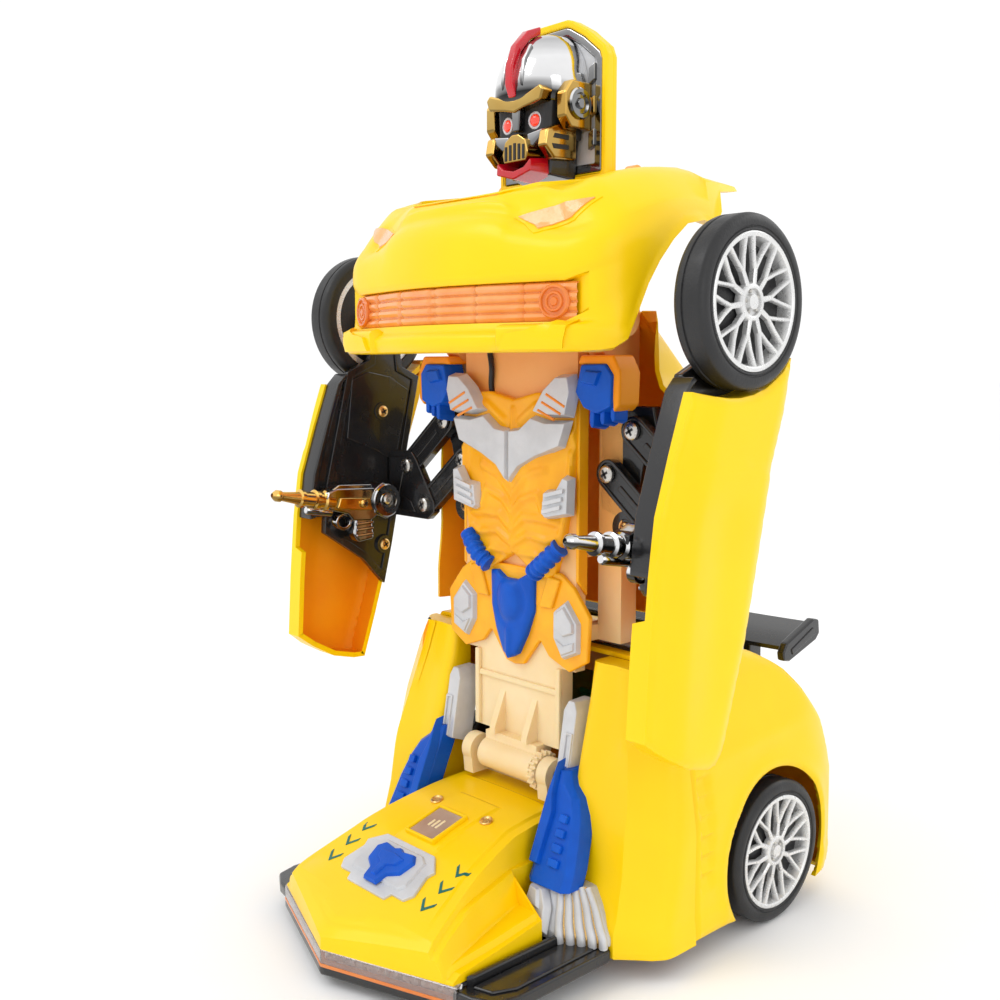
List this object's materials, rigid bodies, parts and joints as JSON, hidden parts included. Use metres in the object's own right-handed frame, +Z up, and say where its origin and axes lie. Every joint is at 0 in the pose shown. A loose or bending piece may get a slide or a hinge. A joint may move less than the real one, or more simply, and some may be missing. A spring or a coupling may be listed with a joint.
{
  "type": "transforming robot car toy",
  "caption": "Toy car that stands up into a robot: hinged torso, levelling hood with head, linked door arms with wheels, sliding roof.",
  "frame": {"origin": "floor level, centre of the standing robot's footprint box", "axes": "-Y the way the robot and the car face, +X the robot's own left, +Z up"},
  "size_m": [0.1436, 0.1404, 0.234],
  "materials": {
    "body_yellow": "glossy injection-moulded plastic",
    "chest_orange": "satin orange-yellow moulded plastic",
    "silver_paint": "silver-grey painted plastic",
    "blue_paint": "royal blue painted plastic",
    "frame_cream": "cream moulded plastic",
    "black_plastic": "black moulded plastic",
    "tyre_rubber": "hard black vinyl tyre",
    "rim_silver": "silver-painted spokes on black",
    "chrome_plate": "vacuum-plated chrome plastic",
    "amber_lens": "clear orange lens",
    "clear_lens": "clear peach lens",
    "red_lens": "clear red lens",
    "steel": "plain steel pin",
    "cell_wrap": "plain cell wrap",
    "board_green": "circuit board",
    "gear_white": "white acetal gear"
  },
  "bodies": {
    "base": {"chassis_tub": "black_plastic", "side_skirts": "black_plastic", "foot_cover": "body_yellow", "foot_emblem_plate": "silver_paint", "foot_window_lens": "clear_lens", "nose_lens": "clear_lens", "hinge_mount": "frame_cream", "waist_pin": "steel", "rear_body_shell": "body_yellow", "leg_shell_left": "body_yellow", "leg_shell_right": "body_yellow", "thigh_trims": "silver_paint", "shin_guards": "blue_paint", "ankle_boots": "silver_paint", "rear_spoiler": "black_plastic", "tail_light_lenses": "red_lens", "battery_door": "black_plastic", "battery_cells": "cell_wrap", "lift_gearbox": "gear_white", "circuit_board": "board_green"},
    "switch": {"power_switch": "black_plastic"},
    "pinion": {"lift_pinion": "gear_white"},
    "rear_wheels": {"rear_axle": "steel", "rear_tyres": "tyre_rubber", "rear_rims": "rim_silver"},
    "turntable": {"turntable": "black_plastic"},
    "drive_wheels": {"drive_wheels": "tyre_rubber"},
    "torso": {"torso_frame": "frame_cream", "lift_gear": "gear_white", "chest_relief": "chest_orange", "chest_wings": "silver_paint", "shoulder_pads": "blue_paint", "chest_trims": "silver_paint", "belt_and_groin": "blue_paint", "hood_pin": "steel", "shoulder_brackets": "black_plastic", "lead_wire": "black_plastic"},
    "roof": {"roof_shell": "body_yellow"},
    "hood": {"hood_shell": "body_yellow", "grille_lens": "amber_lens", "headlight_lenses": "clear_lens", "hood_frame": "frame_cream"},
    "head": {"head_panel": "body_yellow", "helmet": "chrome_plate", "face_mask": "chrome_plate"},
    "link_upper_left": {"link_upper_left": "black_plastic"},
    "link_lower_left": {"link_lower_left": "black_plastic"},
    "arm_left": {"door_left": "body_yellow", "arm_frame_left": "black_plastic"},
    "front_wheel_left": {"front_tyre_left": "tyre_rubber", "front_rim_left": "rim_silver"},
    "gun_left": {"gun_left": "chrome_plate"},
    "link_upper_right": {"link_upper_right": "black_plastic"},
    "link_lower_right": {"link_lower_right": "black_plastic"},
    "arm_right": {"door_right": "body_yellow", "arm_frame_right": "black_plastic"},
    "front_wheel_right": {"front_tyre_right": "tyre_rubber", "front_rim_right": "rim_silver"},
    "gun_right": {"gun_right": "chrome_plate"}
  },
  "joints": [
    {"name": "torso_fold", "type": "hinge", "parent": "base", "child": "torso", "pos_m": [0, -0.00735, 0.04045], "axis": [1, 0, 0], "range_deg": [0, 103]},
    {"name": "hood_level", "type": "hinge", "parent": "torso", "child": "hood", "pos_m": [0, -0.00135, 0.15785], "axis": [1, 0, 0], "range_deg": [-103, 0]},
    {"name": "roof_slide", "type": "slide", "parent": "torso", "child": "roof", "axis": [0, 0, -1], "range_m": [0, 0.024]},
    {"name": "head_fold", "type": "hinge", "parent": "hood", "child": "head", "pos_m": [0, 0.012, 0.194], "axis": [1, 0, 0], "range_deg": [0, 100]},
    {"name": "link_upper_left_swing", "type": "hinge", "parent": "torso", "child": "link_upper_left", "pos_m": [0.0355, 0, 0.1305], "axis": [0, 1, 0], "range_deg": [0, 49.3]},
    {"name": "link_lower_left_swing", "type": "hinge", "parent": "torso", "child": "link_lower_left", "pos_m": [0.0275, 0, 0.1195], "axis": [0, 1, 0], "range_deg": [0, 49.3]},
    {"name": "arm_left_level", "type": "hinge", "parent": "link_upper_left", "child": "arm_left", "pos_m": [0.05248, 0, 0.11651], "axis": [0, 1, 0], "range_deg": [-49.3, 0]},
    {"name": "front_wheel_left_spin", "type": "hinge", "parent": "arm_left", "child": "front_wheel_left", "pos_m": [0.0676, -0.0036, 0.1599], "axis": [1, 0, 0], "continuous": true},
    {"name": "gun_left_fold", "type": "hinge", "parent": "arm_left", "child": "gun_left", "pos_m": [0.056, -0.009, 0.107], "axis": [1, 0, 0], "range_deg": [-90, 0]},
    {"name": "link_upper_right_swing", "type": "hinge", "parent": "torso", "child": "link_upper_right", "pos_m": [-0.0355, 0, 0.1305], "axis": [0, -1, 0], "range_deg": [0, 49.3]},
    {"name": "link_lower_right_swing", "type": "hinge", "parent": "torso", "child": "link_lower_right", "pos_m": [-0.0275, 0, 0.1195], "axis": [0, -1, 0], "range_deg": [0, 49.3]},
    {"name": "arm_right_level", "type": "hinge", "parent": "link_upper_right", "child": "arm_right", "pos_m": [-0.05248, 0, 0.11651], "axis": [0, -1, 0], "range_deg": [-49.3, 0]},
    {"name": "front_wheel_right_spin", "type": "hinge", "parent": "arm_right", "child": "front_wheel_right", "pos_m": [-0.0676, -0.0036, 0.1599], "axis": [1, 0, 0], "continuous": true},
    {"name": "gun_right_fold", "type": "hinge", "parent": "arm_right", "child": "gun_right", "pos_m": [-0.056, -0.009, 0.107], "axis": [1, 0, 0], "range_deg": [-90, 0]},
    {"name": "rear_wheel_spin", "type": "hinge", "parent": "base", "child": "rear_wheels", "pos_m": [0, 0.037, 0.019], "axis": [1, 0, 0], "continuous": true},
    {"name": "turntable_spin", "type": "hinge", "parent": "base", "child": "turntable", "pos_m": [0, -0.025, 0.009], "axis": [0, 0, 1], "continuous": true},
    {"name": "drive_wheel_spin", "type": "hinge", "parent": "turntable", "child": "drive_wheels", "pos_m": [0, -0.025, 0.0066], "axis": [1, 0, 0], "continuous": true},
    {"name": "lift_pinion_spin", "type": "hinge", "parent": "base", "child": "pinion", "pos_m": [0.011, -0.00055, 0.0373], "axis": [1, 0, 0], "range_deg": [-206.2, 0]},
    {"name": "power_switch_slide", "type": "slide", "parent": "base", "child": "switch", "axis": [0, 1, 0], "range_m": [0, 0.003]}
  ],
  "couplings": [
    {"joint": "hood_level", "follows": "torso_fold", "ratio": -1},
    {"joint": "roof_slide", "follows": "torso_fold", "m_per_rad": 0.01335},
    {"joint": "head_fold", "follows": "torso_fold", "ratio": 0.9708},
    {"joint": "lift_pinion_spin", "follows": "torso_fold", "ratio": -2},
    {"joint": "link_upper_left_swing", "follows": "torso_fold", "ratio": 0.4777},
    {"joint": "link_lower_left_swing", "follows": "torso_fold", "ratio": 0.4777},
    {"joint": "arm_left_level", "follows": "torso_fold", "ratio": -0.4777},
    {"joint": "gun_left_fold", "follows": "torso_fold", "ratio": -0.873},
    {"joint": "link_upper_right_swing", "follows": "torso_fold", "ratio": 0.4777},
    {"joint": "link_lower_right_swing", "follows": "torso_fold", "ratio": 0.4777},
    {"joint": "arm_right_level", "follows": "torso_fold", "ratio": -0.4777},
    {"joint": "gun_right_fold", "follows": "torso_fold", "ratio": -0.873}
  ]
}
